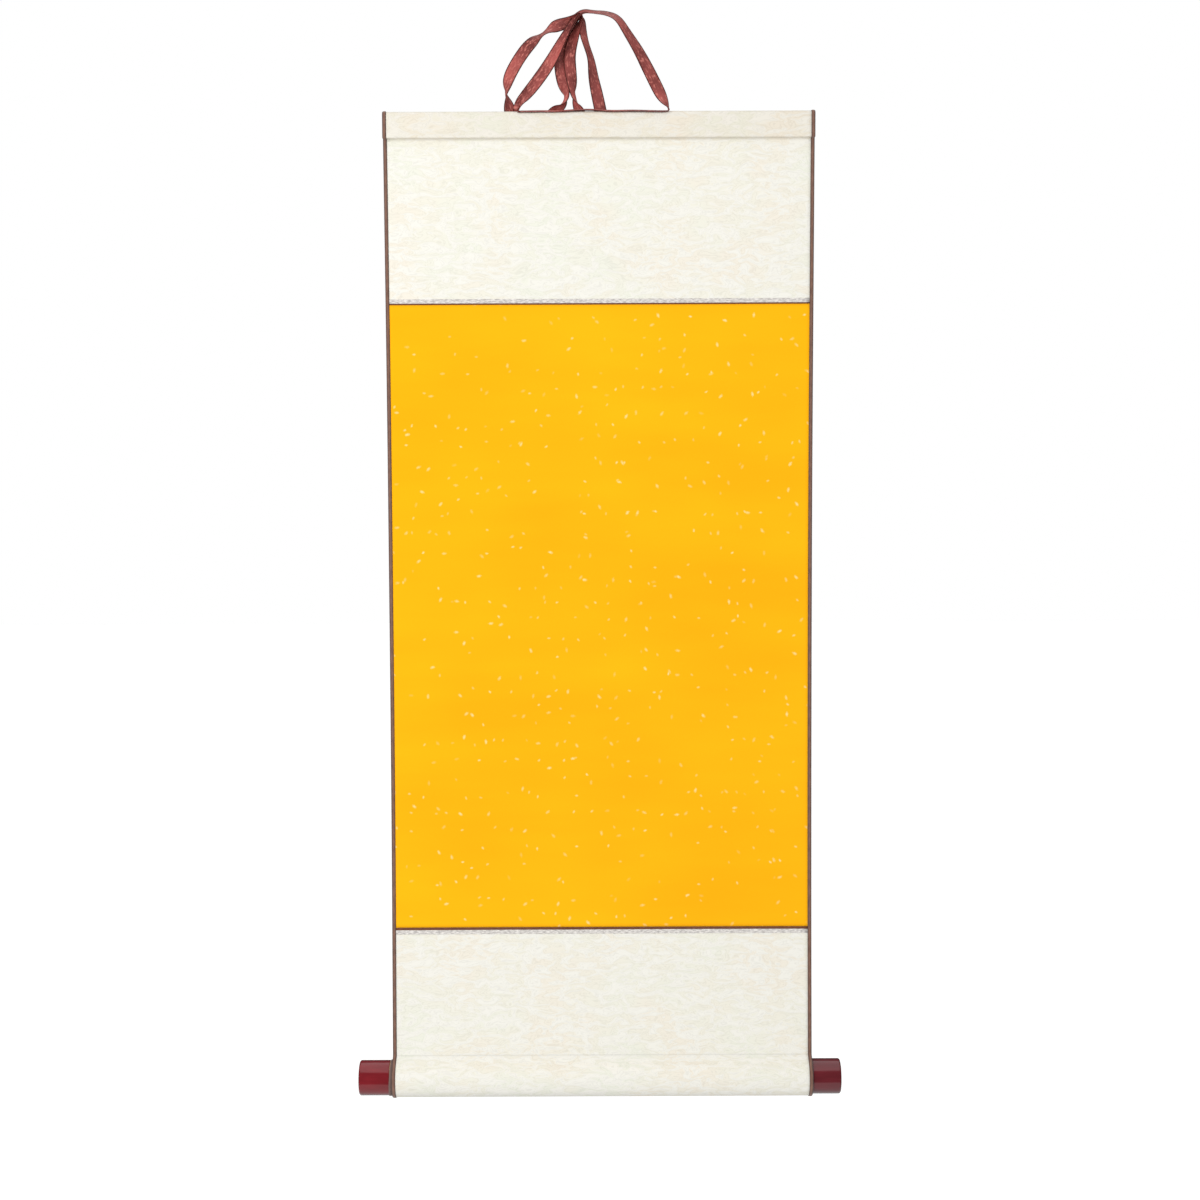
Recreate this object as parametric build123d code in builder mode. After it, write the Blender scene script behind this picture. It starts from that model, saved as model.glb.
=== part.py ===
"""A blank hanging scroll: a brocade-mounted paper sheet on a slat and a roller.

The frame hangs from a nail.  The origin is the top of that nail, where the
ribbons bear on it, with X to the right, Y to the back and Z up.  The sheet is
drawn once as a side view in the YZ plane, and each layer of it is a slice of
that view carried across the width along X.
"""

import os
from math import asin, atan2, cos, hypot, pi, radians, sin, sqrt, tan

from build123d import *

os.makedirs("parts", exist_ok=True)

# ---- Driving dimensions, in millimetres ---------------------------------------
# the whole sheet
sheet_width = 300.0
hang_offset = 11.7  # from the nail to the sheet's centre line
ribbon_rise = 67.7  # from the top of the hem to the nail
sheet_bow = 9.0  # how far the middle of the hanging sheet stands back

# the panels, from the top down
upper_panel_height = 113.9
painting_height = 442.6
lower_panel_height = 92.1
silver_strip_width = 3.0
upper_line_width = 1.0
lower_line_width = 1.8

# the layers
backing_thickness = 0.3
face_thickness = 0.3
strip_thickness = 0.15
binding_width = 2.5
binding_thickness = 0.15
binding_web = 0.2
strip_gap = 0.1  # between a strip's end and the binding

# the flat slat at the top and the hem round it
slat_height = 17.4
slat_depth = 4.2
slat_corner = 1.7
slat_inset = 1.0  # the slat is this much shorter than the sheet at each end
hem_cover = 0.5
glue_gap = 0.1

# the roller at the bottom, and the turns of brocade round it
roller_radius = 12.0
roller_left_reach = 4.0  # how far the roller stands out past the sheet's left edge
roller_right_reach = 0.5
wrap_thickness = 1.6
crease_rise = 15.8  # from the roller's axis to the crease above it
neck_allowance = 0.05
inner_turn_reach = 3.4  # the first turn's bound edge, pasted askew, shows on the left
inner_turn_thickness = 0.6

# the turned knobs
knob_radius = 12.4
knob_length = 20.6
knob_rim = 1.8
knob_dome = 0.9  # how far the end face is crowned
dimple_radius = 1.5
dimple_depth = 0.6
tenon_radius = 5.0
tenon_length = 12.0
tenon_clearance = 0.2
socket_end_clearance = 1.0

# the ribbons' plain solids
tube_diameter = 2.0
lie_gap = 0.3  # between a ribbon's solid and what it lies on

# ---- Places that follow from them ---------------------------------------------
sheet_left = hang_offset - sheet_width / 2
sheet_right = hang_offset + sheet_width / 2
layer_left = sheet_left + binding_web
layer_width = sheet_width - 2 * binding_web

hem_depth = slat_depth + 2 * (glue_gap + hem_cover)
hem_height = slat_height + 2 * (glue_gap + hem_cover)
hem_corner = slat_corner + glue_gap + hem_cover
hem_top = -ribbon_rise
hem_bottom = hem_top - hem_height
hem_back = backing_thickness
hem_mid_y = hem_back - hem_depth / 2
hem_mid_z = hem_top - hem_height / 2

painting_top = hem_bottom - upper_panel_height
painting_bottom = painting_top - painting_height
crease = painting_bottom - lower_panel_height
roller_axis = crease - crease_rise

wrap_inner = roller_radius + glue_gap
wrap_outer = wrap_inner + wrap_thickness
neck_half = max(face_thickness, backing_thickness) + neck_allowance
neck_angle = asin(wrap_outer / hypot(neck_half, crease_rise)) - atan2(neck_half, crease_rise)

roller_left = sheet_left - roller_left_reach
roller_right = sheet_right + roller_right_reach
roller_length = roller_right - roller_left

# the hanging sheet's side view is one arc from the hem to the crease
bow_half = (hem_bottom - crease) / 2
bow_radius = (bow_half**2 + sheet_bow**2) / (2 * sheet_bow)
bow_centre_y = sheet_bow - bow_radius
bow_centre_z = (hem_bottom + crease) / 2


# ---- The side view -------------------------------------------------------------
def sheet_point(depth, z):
    """The point of the side view at a height, so far behind the face's inner side."""
    return (bow_centre_y + sqrt((bow_radius + depth) ** 2 - (z - bow_centre_z) ** 2), z)


def draw_layer(front, back, top, bottom, mode=Mode.ADD):
    """One layer of the sheet between two depths and two heights."""
    middle = (top + bottom) / 2
    with BuildLine() as outline:
        front_side = ThreePointArc(*[sheet_point(front, z) for z in (top, middle, bottom)])
        back_side = ThreePointArc(*[sheet_point(back, z) for z in (top, middle, bottom)])
        Line(front_side @ 0, back_side @ 0)
        Line(front_side @ 1, back_side @ 1)
    make_face(outline.edges(), mode=mode)


def draw_hem(grow, mode=Mode.ADD):
    """The outline of the hem round the slat, with a square corner where the sheet leaves it."""
    corner = hem_corner + grow
    with Locations((hem_mid_y, hem_mid_z)):
        RectangleRounded(hem_depth + 2 * grow, hem_height + 2 * grow, corner, mode=mode)
    with Locations((hem_back + grow, hem_bottom - grow)):
        Rectangle(corner, corner, align=(Align.MAX, Align.MIN), mode=mode)


def draw_wrap(grow, mode=Mode.ADD):
    """The drop-shaped outline of the brocade round the roller, up to its neck."""
    radius = wrap_outer + grow
    side_y = radius * cos(neck_angle)
    side_z = roller_axis + radius * sin(neck_angle)
    tip = (0, roller_axis + radius / sin(neck_angle))
    with Locations((0, roller_axis)):
        Circle(radius, mode=mode)
    Polygon((-side_y, side_z), (side_y, side_z), tip, align=None, mode=mode)


def cut_neck():
    """Cuts the drop's tip off flat at the crease, where the sheet stands on it."""
    with Locations((0, crease)):
        Rectangle(4 * neck_half, crease_rise, align=(Align.CENTER, Align.MIN), mode=Mode.SUBTRACT)


# ---- The paper and brocade -----------------------------------------------------
with BuildPart() as backing_paper:
    with BuildSketch(Plane.YZ.offset(layer_left)):
        draw_layer(0, backing_thickness, hem_bottom, crease)
    extrude(amount=layer_width)

with BuildPart() as painting_paper:
    with BuildSketch(Plane.YZ.offset(layer_left)):
        draw_layer(-face_thickness, 0, painting_top, painting_bottom)
    extrude(amount=layer_width)

with BuildPart() as upper_brocade:
    with BuildSketch(Plane.YZ.offset(layer_left)):
        draw_hem(0)
        draw_hem(-hem_cover, mode=Mode.SUBTRACT)
        draw_layer(-face_thickness, 0, hem_bottom, painting_top)
    extrude(amount=layer_width)

with BuildPart() as lower_brocade:
    with BuildSketch(Plane.YZ.offset(layer_left)):
        draw_wrap(0)
        cut_neck()
        draw_wrap(-wrap_thickness, mode=Mode.SUBTRACT)
        draw_layer(-face_thickness, 0, painting_bottom, crease)
    extrude(amount=layer_width)


def face_strip(top, height):
    """A narrow strip pasted on the face between the two edge bindings."""
    margin = binding_width + strip_gap
    with BuildPart() as strip:
        with BuildSketch(Plane.YZ.offset(sheet_left + margin)):
            draw_layer(-face_thickness - strip_thickness, -face_thickness, top, top - height)
        extrude(amount=sheet_width - 2 * margin)
    return strip.part


upper_line = face_strip(painting_top + upper_line_width, upper_line_width)
upper_silver = face_strip(painting_top + upper_line_width + silver_strip_width, silver_strip_width)
lower_line = face_strip(painting_bottom, lower_line_width)
lower_silver = face_strip(painting_bottom - lower_line_width, silver_strip_width)


def draw_covered_sheet(grow):
    """Everything that an edge binding runs round, seen from the side."""
    draw_hem(grow)
    draw_wrap(grow)
    draw_layer(-face_thickness - grow, backing_thickness + grow, hem_bottom, crease)


def edge_binding(outer_edge, inward):
    """A strip folded over one side edge; inward is +1 on the left and -1 on the right."""
    with BuildPart() as binding:
        with BuildSketch(Plane.YZ.offset(outer_edge)):
            draw_covered_sheet(binding_thickness)
            draw_hem(-hem_cover, mode=Mode.SUBTRACT)
            draw_wrap(-wrap_thickness, mode=Mode.SUBTRACT)
        extrude(amount=inward * binding_web)
        with BuildSketch(Plane.YZ.offset(outer_edge)) as legs:
            draw_covered_sheet(binding_thickness)
            with BuildSketch(mode=Mode.SUBTRACT):
                draw_covered_sheet(0)
        extrude(amount=inward * binding_width)
    return binding.part


right_binding = edge_binding(sheet_right, -1)

with BuildPart() as left_edge_binding:
    add(edge_binding(sheet_left, 1))
    with BuildSketch(Plane.YZ.offset(sheet_left)):
        with Locations((0, roller_axis)):
            Circle(wrap_inner + inner_turn_thickness)
            Circle(wrap_inner, mode=Mode.SUBTRACT)
    extrude(amount=-inner_turn_reach)

# ---- The slat, the roller and the knobs -----------------------------------------
with BuildPart() as top_slat:
    with BuildSketch(Plane.YZ.offset(sheet_left + slat_inset)):
        with Locations((hem_mid_y, hem_mid_z)):
            RectangleRounded(slat_depth, slat_height, slat_corner)
    extrude(amount=sheet_width - 2 * slat_inset)

socket_radius = tenon_radius + tenon_clearance
socket_depth = tenon_length + socket_end_clearance

with BuildPart() as bottom_roller:
    with BuildSketch(Plane.YZ.offset(roller_left)):
        with Locations((0, roller_axis)):
            Circle(roller_radius)
    extrude(amount=roller_length)
    with BuildSketch(Plane.YZ.offset(roller_left)):
        with Locations((0, roller_axis)):
            Circle(socket_radius)
    extrude(amount=socket_depth, mode=Mode.SUBTRACT)
    with BuildSketch(Plane.YZ.offset(roller_right)):
        with Locations((0, roller_axis)):
            Circle(socket_radius)
    extrude(amount=-socket_depth, mode=Mode.SUBTRACT)


def knob(seat_x, outward):
    """A turned knob on the roller's end; outward is -1 on the left and +1 on the right."""
    rim_start = knob_length - knob_dome - knob_rim
    with BuildPart() as turned:
        with BuildSketch(Plane((seat_x, 0, roller_axis), x_dir=(outward, 0, 0), z_dir=(0, -outward, 0))):
            with BuildLine():
                shoulder = Polyline(
                    (-tenon_length, 0),
                    (-tenon_length, tenon_radius),
                    (0, tenon_radius),
                    (0, knob_radius),
                    (rim_start, knob_radius),
                )
                rim = RadiusArc(shoulder @ 1, (rim_start + knob_rim, knob_radius - knob_rim), knob_rim)
                dome = ThreePointArc(
                    rim @ 1,
                    (knob_length - knob_dome / 4, knob_radius / 2),
                    (knob_length, dimple_radius),
                )
                dimple = Line(dome @ 1, (knob_length - dimple_depth, 0))
                Line(dimple @ 1, shoulder @ 0)
            make_face()
        revolve(axis=Axis((seat_x, 0, roller_axis), (1, 0, 0)))
    return turned.part


left_knob = knob(roller_left, -1)
right_knob = knob(roller_right, 1)

# ---- The ribbons ----------------------------------------------------------------
# Each route is the middle line of a flat ribbon, and its solid is a plain tube.
on_rod_y = hem_mid_y
on_rod_z = hem_top + tube_diameter / 2 + lie_gap
behind_y = hem_back + tube_diameter / 2 + lie_gap

hanging_route = [
    (-46.4, on_rod_y, hem_top),
    (-46.4, on_rod_y, -62.8),
    (-39.8, -2.5, -55.4),
    (-30.4, -2.5, -44.7),
    (-21.8, -2.5, -33.4),
    (-14.6, -2.5, -22.6),
    (-7.5, -2.4, -10.6),
    (-1.0, -2.3, 1.4),
    (8.8, -2.3, 1.3),
    (17.0, -2.4, 0.1),
    (25.0, -2.5, -4.2),
    (31.0, -2.5, -13.4),
    (38.1, -2.5, -26.4),
    (44.9, -2.5, -40.6),
    (52.2, -2.5, -54.0),
    (58.0, on_rod_y, -60.4),
    (58.4, on_rod_y, on_rod_z + 0.2),
    (49.0, on_rod_y, on_rod_z),
    (34.4, on_rod_y, on_rod_z + 0.5),
    (20.2, on_rod_y, on_rod_z + 0.1),
    (8.6, on_rod_y, on_rod_z + 2.1),
    (-2.4, on_rod_y, on_rod_z + 2.0),
    (-15.0, on_rod_y, on_rod_z + 0.1),
    (-30.2, on_rod_y, on_rod_z + 0.4),
    (-44.2, on_rod_y, on_rod_z),
]

tie_route = [
    (-48.8, behind_y, -84.6),
    (-48.9, behind_y, -73.4),
    (-51.9, 1.4, -64.6),
    (-53.9, 1.2, -55.6),
    (-51.0, 0.9, -44.4),
    (-43.0, 0.6, -31.4),
    (-35.0, 0.3, -22.0),
    (-25.4, 0.1, -14.6),
    (-15.2, 0, -8.4),
    (-6.8, 0, -4.2),
    (-2.2, 0, 1.6),
    (2.2, 0, -2.8),
    (-3.6, 0.1, -10.2),
    (-6.9, 0.3, -18.0),
    (-9.2, 0.6, -28.3),
    (-8.4, 0.9, -39.1),
    (-6.6, 1.2, -49.9),
    (-5.2, 1.5, -58.6),
    (-1.8, behind_y, -68.2),
    (2.0, 2.0, -79.0),
    (-1.0, 2.6, -90.6),
    (-11.2, 2.9, -96.2),
    (-21.6, 2.9, -91.0),
    (-25.4, 2.6, -79.6),
    (-19.6, 2.4, -68.2),
    (-12.8, 2.3, -60.2),
    (-13.4, 2.3, -50.7),
    (-15.0, 2.4, -42.2),
    (-15.6, 2.5, -33.4),
    (-12.4, 2.4, -22.6),
    (-7.6, 2.3, -11.6),
    (-3.2, 2.3, 1.6),
    (3.2, 2.3, -0.6),
    (0.6, 2.3, -13.0),
    (2.4, 2.2, -22.2),
    (5.4, 2.1, -32.4),
    (6.8, 2.0, -44.1),
    (9.0, 1.9, -55.7),
    (12.2, 1.8, -67.8),
    (14.8, 2.0, -79.4),
    (15.6, 2.6, -91.4),
    (13.4, 3.0, -102.6),
]


def bend_radii(route):
    """The largest arc that the two runs at each inner point leave room for."""
    radii = []
    for before, here, after in zip(route, route[1:], route[2:]):
        came = Vector(*here) - Vector(*before)
        goes = Vector(*after) - Vector(*here)
        half_turn = radians(came.get_angle(goes)) / 2
        radii.append(0.45 * min(came.length, goes.length) / tan(half_turn))
    return radii


def ribbon_tube(name, route):
    """A plain tube along a route, with its length, bends and volume printed."""
    radii = bend_radii(route)
    with BuildPart() as tube:
        with BuildLine():
            path = FilletPolyline(*route, radius=radii)
        with BuildSketch(Plane(origin=path @ 0, z_dir=path % 0)):
            Circle(tube_diameter / 2)
        sweep()
    length = path.length
    section = pi * tube_diameter**2 / 4
    print(name, "length", round(length, 1), "tightest bends", [round(r, 1) for r in sorted(radii)[:4]])
    print(name, "volume over section times length", round(tube.part.volume / (section * length), 4))
    return tube.part


hanging_ribbon = ribbon_tube("hanging_ribbon", hanging_route)
tie_ribbon = ribbon_tube("tie_ribbon", tie_route)

# ---- Write the pieces -----------------------------------------------------------
pieces = {
    "backing_paper": backing_paper.part,
    "painting_paper": painting_paper.part,
    "upper_brocade": upper_brocade.part,
    "lower_brocade": lower_brocade.part,
    "upper_silver_strip": upper_silver,
    "lower_silver_strip": lower_silver,
    "upper_brown_line": upper_line,
    "lower_brown_line": lower_line,
    "left_edge_binding": left_edge_binding.part,
    "right_edge_binding": right_binding,
    "top_slat": top_slat.part,
    "bottom_roller": bottom_roller.part,
    "left_knob": left_knob,
    "right_knob": right_knob,
    "hanging_ribbon": hanging_ribbon,
    "tie_ribbon": tie_ribbon,
}
for name, piece in pieces.items():
    piece.label = name
    export_step(piece, f"parts/{name}.step")
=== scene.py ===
# %% [markdown]
# # A hanging paper scroll
# The scroll is a blank one: gold-flecked paper between two panels of ivory brocade,
# bound in brown along both sides. A flat slat in the top hem and a round roller at
# the foot keep it straight, two red lacquered knobs close the roller, and red satin
# ribbons carry it from a nail and tie it up when it is rolled.
# The solid model that fixes every size is loaded first, and nothing here moves it.
# Its box is noted now, before any new piece stands in for a solid one.

# %% Load the frame
import math

import bmesh
import bpy
from mathutils import Matrix, Vector, noise


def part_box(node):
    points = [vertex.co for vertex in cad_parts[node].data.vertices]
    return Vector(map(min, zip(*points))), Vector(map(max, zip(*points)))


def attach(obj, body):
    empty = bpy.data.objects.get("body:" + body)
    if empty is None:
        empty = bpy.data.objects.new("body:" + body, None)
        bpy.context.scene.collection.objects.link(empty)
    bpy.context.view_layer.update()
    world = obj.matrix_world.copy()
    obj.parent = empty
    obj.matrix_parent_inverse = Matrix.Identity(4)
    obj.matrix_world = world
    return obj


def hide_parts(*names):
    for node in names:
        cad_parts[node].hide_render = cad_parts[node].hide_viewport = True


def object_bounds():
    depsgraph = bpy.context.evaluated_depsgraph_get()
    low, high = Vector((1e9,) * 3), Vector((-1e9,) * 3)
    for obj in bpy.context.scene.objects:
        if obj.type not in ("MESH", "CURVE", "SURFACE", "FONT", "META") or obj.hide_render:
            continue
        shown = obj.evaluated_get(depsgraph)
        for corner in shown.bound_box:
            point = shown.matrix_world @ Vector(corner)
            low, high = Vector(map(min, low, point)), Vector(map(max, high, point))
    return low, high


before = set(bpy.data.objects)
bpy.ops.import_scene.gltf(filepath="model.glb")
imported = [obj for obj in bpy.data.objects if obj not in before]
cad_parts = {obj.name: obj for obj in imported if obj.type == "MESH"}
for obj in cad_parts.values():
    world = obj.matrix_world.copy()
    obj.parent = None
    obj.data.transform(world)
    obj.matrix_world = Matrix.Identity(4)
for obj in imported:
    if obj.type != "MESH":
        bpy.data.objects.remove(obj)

CAD_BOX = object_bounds()
print("solid model:", len(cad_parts), "pieces, box", [tuple(c) for c in CAD_BOX])

# %% [markdown]
# ## The camera
# A scroll is looked at from across a room, so the lens is a little long and the
# camera is far enough back that the sheet's sides stay nearly upright. It stands
# above the middle of the scroll and looks down by a few degrees, which makes the
# sheet narrow slightly towards its foot. It is turned in three small steps:
# a lean to the side, the look down, and a turn towards the sheet.

# %% Camera
CAMERA_AT = (0.0098, -1.4, -0.3143)
LOOK_DOWN, TURN, LEAN = (math.radians(a) for a in (3.82, -0.06, -0.22))
camera_data = bpy.data.cameras.new("camera")
camera_data.lens = 59.6
camera_data.sensor_width = 36
camera_data.clip_start, camera_data.clip_end = 0.05, 30
camera = bpy.data.objects.new("camera", camera_data)
bpy.context.scene.collection.objects.link(camera)
camera.matrix_world = (
    Matrix.Translation(CAMERA_AT)
    @ Matrix.Rotation(TURN, 4, "Z")
    @ Matrix.Rotation(math.radians(90) - LOOK_DOWN, 4, "X")
    @ Matrix.Rotation(LEAN, 4, "Z")
)
bpy.context.scene.camera = camera
print("camera lens", round(camera_data.lens, 1), "mm, at", CAMERA_AT)

# %% [markdown]
# ## Cut flat, then laid in place
# Everything soft on a scroll is cut flat before it is hung: ribbon, brocade, paper
# and binding. The same order works here. A flat grid is made first, and then each of
# its points is carried to where the hung piece has it. The flat coordinates are kept
# as the UV map, in metres, so that a weave or a print follows the cloth round every
# bend at its true size. A helper does this for every soft piece, and another hands a
# finished mesh to the scene and makes it ride with the solid model.

# %% Helpers for soft pieces
MM = 0.001


def finish_piece(name, bm, stands_for=()):
    """Turns a bmesh into a piece of the scroll and the solids it stands for."""
    mesh = bpy.data.meshes.new(name)
    bm.to_mesh(mesh)
    bm.free()
    piece = bpy.data.objects.new(name, mesh)
    bpy.context.scene.collection.objects.link(piece)
    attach(piece, "root")
    if stands_for:
        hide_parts(*stands_for)
    return piece


def lay_flat_piece(rows, columns, place):
    """Cuts a grid and lays it: place(row, share across) gives a point and its two cloth coordinates."""
    bm = bmesh.new()
    cloth_map = bm.loops.layers.uv.new("UVMap")
    bmesh.ops.create_grid(bm, x_segments=rows - 1, y_segments=columns, size=0.5)
    laid = {}
    for vert in bm.verts:
        row = round((vert.co.x + 0.5) * (rows - 1))
        share = round((vert.co.y + 0.5) * columns) / columns
        vert.co, laid[vert] = place(row, share)
    for face in bm.faces:
        face.smooth = True
        for loop in face.loops:
            loop[cloth_map].uv = laid[loop.vert]
    return bm


def thicken(piece, thickness, offset):
    """Gives a laid sheet its real thickness: offset 1 grows it outwards, 0 both ways, -1 inwards."""
    wall = piece.modifiers.new("thickness", "SOLIDIFY")
    wall.thickness, wall.offset = thickness, offset


def distances(line):
    """How far along a line each of its points is."""
    far = [0.0]
    for before, here in zip(line, line[1:]):
        far.append(far[-1] + (here - before).length)
    return far


# %% [markdown]
# ## The ribbons' lines
# The ribbon is narrow satin, 8.5 mm wide, soft enough to fall in its own curves.
# One length runs from its knot on the hem up to the nail, over it, down to the right
# in a wide arc, and back along the top of the hem. A second, longer one ties the scroll
# when it is rolled up. It is glued behind the hem, goes over the nail, hangs in a loop
# behind the hem, goes over the nail again and ends behind the sheet.
# A smooth NURBS line through listed points gives each one its course. With every
# point goes how far the ribbon is turned there, from 0, flat to the front, through 90,
# edge-on, to 180, where its back shows, and how far it is folded along its middle. Turn
# and fold are read from a second spline with the same number of points, so they change
# as smoothly as the line.

# %% Ribbon courses
RIBBON_WIDTH = 0.0085
RIBBON_THICKNESS = 0.25 * MM

# x, y, z in metres, then turn and fold in degrees
hanging_course = [
    (-0.0448, -0.0024, -0.0680, 60, 20),
    (-0.0444, -0.0024, -0.0632, 48, 14),
    (-0.0374, -0.0025, -0.0553, 14, 4),
    (-0.0288, -0.0025, -0.0444, 0, 0),
    (-0.0212, -0.0025, -0.0336, 10, 12),
    (-0.0146, -0.0025, -0.0232, 28, 40),
    (-0.0074, -0.0024, -0.0124, 46, 58),
    (-0.0004, -0.0023, -0.0008, 64, 44),
    (0.0084, -0.0023, -0.0010, 62, 14),
    (0.0166, -0.0024, -0.0012, 58, 8),
    (0.0250, -0.0025, -0.0040, 50, 4),
    (0.0316, -0.0025, -0.0138, 44, -4),
    (0.0396, -0.0025, -0.0260, 30, -10),
    (0.0466, -0.0025, -0.0400, 10, -10),
    (0.0530, -0.0025, -0.0530, 4, -10),
    (0.0576, -0.0024, -0.0612, 44, -6),
    (0.0602, -0.0024, -0.0672, 92, 10),
    (0.0590, -0.0024, -0.0675, 96, 20),
    (0.0490, -0.0024, -0.0673, 97, 24),
    (0.0344, -0.0024, -0.0668, 98, 20),
    (0.0202, -0.0024, -0.0672, 97, 24),
    (0.0086, -0.0024, -0.0662, 98, 18),
    (-0.0024, -0.0024, -0.0662, 98, 18),
    (-0.0150, -0.0024, -0.0672, 97, 24),
    (-0.0302, -0.0024, -0.0670, 98, 24),
    (-0.0446, -0.0024, -0.0673, 96, 24),
]
tie_course = [
    (-0.0488, 0.0010, -0.0846, 0, 0),
    (-0.0494, 0.0010, -0.0734, 0, 0),
    (-0.0502, 0.0014, -0.0646, -22, 0),
    (-0.0541, 0.0012, -0.0556, -92, 38),
    (-0.0512, 0.0009, -0.0446, -172, 2),
    (-0.0437, 0.0006, -0.0312, -182, 0),
    (-0.0356, 0.0003, -0.0208, -176, 0),
    (-0.0262, 0.0001, -0.0132, -92, 12),
    (-0.0152, 0.0000, -0.0082, -204, -14),
    (-0.0066, 0.0000, -0.0052, -222, -22),
    (-0.0014, 0.0000, -0.0002, -262, -14),
    (0.0014, 0.0000, -0.0036, -256, -12),
    (-0.0024, 0.0001, -0.0108, -232, -12),
    (-0.0058, 0.0003, -0.0180, -204, -8),
    (-0.0086, 0.0006, -0.0283, -190, 0),
    (-0.0080, 0.0009, -0.0391, -172, 6),
    (-0.0058, 0.0012, -0.0499, -142, 20),
    (-0.0038, 0.0015, -0.0590, -86, 62),
    (-0.0014, 0.0016, -0.0676, -22, 0),
    (0.0020, 0.0038, -0.0790, -44, 0),
    (-0.0010, 0.0056, -0.0906, -80, 0),
    (-0.0112, 0.0060, -0.0962, -92, 0),
    (-0.0216, 0.0056, -0.0910, -80, 0),
    (-0.0254, 0.0040, -0.0796, -44, 0),
    (-0.0212, 0.0024, -0.0682, -12, 0),
    (-0.0118, 0.0023, -0.0604, -86, 62),
    (-0.0126, 0.0023, -0.0507, -154, 16),
    (-0.0142, 0.0024, -0.0422, -174, 0),
    (-0.0152, 0.0025, -0.0334, -188, 0),
    (-0.0124, 0.0024, -0.0226, -215, -10),
    (-0.0078, 0.0023, -0.0116, -242, -18),
    (-0.0022, 0.0023, -0.0002, -266, -12),
    (0.0008, 0.0023, -0.0024, -300, -6),
    (0.0010, 0.0023, -0.0130, -310, -4),
    (0.0034, 0.0022, -0.0216, -302, -4),
    (0.0068, 0.0021, -0.0316, -304, 0),
    (0.0080, 0.0020, -0.0436, -326, 0),
    (0.0106, 0.0019, -0.0557, -348, 0),
    (0.0132, 0.0018, -0.0678, -358, 0),
    (0.0148, 0.0020, -0.0794, -360, 0),
    (0.0156, 0.0026, -0.0914, -360, 0),
    (0.0134, 0.0030, -0.1026, -362, 0),
]


def read_spline(points, resolution=12):
    """The points of a smooth NURBS line through given control points."""
    curve = bpy.data.curves.new("course", "CURVE")
    curve.dimensions = "3D"
    spline = curve.splines.new("NURBS")
    spline.points.add(len(points) - 1)
    for knot, point in zip(spline.points, points):
        knot.co = (*point, 1)
    spline.order_u = 3
    spline.use_endpoint_u = True
    spline.resolution_u = resolution
    holder = bpy.data.objects.new("course", curve)
    mesh = bpy.data.meshes.new_from_object(holder)
    line = [v.co.copy() for v in mesh.vertices]
    bpy.data.objects.remove(holder)
    bpy.data.curves.remove(curve)
    bpy.data.meshes.remove(mesh)
    return line


for name, course in (("hanging ribbon", hanging_course), ("tie ribbon", tie_course)):
    print(name, "line", round(distances(read_spline([p[:3] for p in course]))[-1] * 1000, 1), "mm")

# %% [markdown]
# ## Laying the ribbon along its line
# Satin ribbon bends easily across its width and hardly at all within it, so what the
# eye sees is a strip that keeps turning about its own line. At each point three
# directions are worked out: along the line, straight back as nearly as the line
# allows, and across between the two. The turn mixes the last two into the ribbon's
# width. A fold bends the ribbon along its middle with a soft crease, which is how it
# squeezes together where it hangs over the nail.

# %% Ribbon pieces
RIBBON_COLUMNS = 10
FOLD_SOFTNESS = 0.25  # the share of the half width over which a fold's crease is rounded


def folded_section(fold):
    """The ribbon's section, folded about its middle, as (across, out) for each column."""
    step = RIBBON_WIDTH / RIBBON_COLUMNS
    section = [(0.0, 0.0)]
    for column in range(RIBBON_COLUMNS):
        share = (column + 0.5) / RIBBON_COLUMNS * 2 - 1
        slope = fold * share / math.hypot(share, FOLD_SOFTNESS)
        across, out = section[-1]
        section.append((across + step * math.cos(slope), out + step * math.sin(slope)))
    middle = section[RIBBON_COLUMNS // 2]
    return [(across - middle[0], out - middle[1]) for across, out in section]


def lay_ribbon(course):
    """A ribbon laid along its course, and the line that it follows."""
    line = read_spline([p[:3] for p in course])
    manner = read_spline([(math.radians(p[3]), math.radians(p[4]), 0) for p in course])
    far = distances(line)
    straight_back = Vector((0, 1, 0))

    def place(row, share):
        ahead = (line[min(row + 1, len(line) - 1)] - line[max(row - 1, 0)]).normalized()
        back = (straight_back - ahead * ahead.y).normalized()
        sideways = ahead.cross(back)
        turn, fold = manner[row].x, manner[row].y
        width = sideways * math.cos(turn) + back * math.sin(turn)
        face = ahead.cross(width)
        across, out = folded_section(fold)[round(share * RIBBON_COLUMNS)]
        return line[row] + width * across + face * out, (far[row], (share - 0.5) * RIBBON_WIDTH)

    return lay_flat_piece(len(line), RIBBON_COLUMNS, place), line


ribbons = {}
for name, course in (("hanging_ribbon", hanging_course), ("tie_ribbon", tie_course)):
    ribbon_mesh, line = lay_ribbon(course)
    ribbon = finish_piece(name + "_satin", ribbon_mesh, [name])
    thicken(ribbon, RIBBON_THICKNESS, 0)
    ribbons[name] = (ribbon, line)
    print(name, len(ribbon.data.polygons), "faces along", len(line), "points")

# %% [markdown]
# ## The knot on the hem
# The hanging ribbon is closed into a loop by a small hard knot at its left end. Seen
# from across a room a knot this small is a snug band round the two lengths. It is a
# short curved edge spun once round a line, squeezed to an oval, leaned to lie along the
# ribbon and moved to its place.

# %% Ribbon knot
KNOT_AT = Vector((-0.0452, -0.0040, -0.0652))
KNOT_LEAN = math.radians(-62)
KNOT_OVAL = (1, 1.25, 0.8)
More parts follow.
